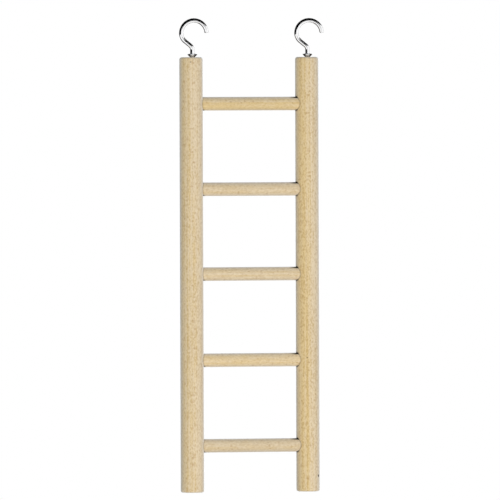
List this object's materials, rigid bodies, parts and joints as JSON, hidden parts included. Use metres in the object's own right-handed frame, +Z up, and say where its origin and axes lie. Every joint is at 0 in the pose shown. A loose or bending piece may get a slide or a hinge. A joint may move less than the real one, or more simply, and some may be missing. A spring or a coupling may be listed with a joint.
{
  "type": "bird ladder",
  "caption": "Wooden ladder for cage birds, with round rungs between round rails and an open screw hook in the top of each rail to hang it by.",
  "frame": {"origin": "the middle of the ladder, on the line that it hangs from: level with the underside of the top of both hook rings, halfway between the rails", "axes": "+Z is up along the rails, -Y faces the viewer, +X is to the viewer's right, the side that both hooks open to"},
  "size_m": [0.0778, 0.012, 0.244],
  "materials": {
    "pale_wood": "raw, sanded smooth",
    "bright_steel": "bright plated"
  },
  "bodies": {
    "root": {"left_rail": "pale_wood", "right_rail": "pale_wood", "rung_1": "pale_wood", "rung_2": "pale_wood", "rung_3": "pale_wood", "rung_4": "pale_wood", "rung_5": "pale_wood", "left_hook": "bright_steel", "right_hook": "bright_steel"}
  },
  "joints": []
}
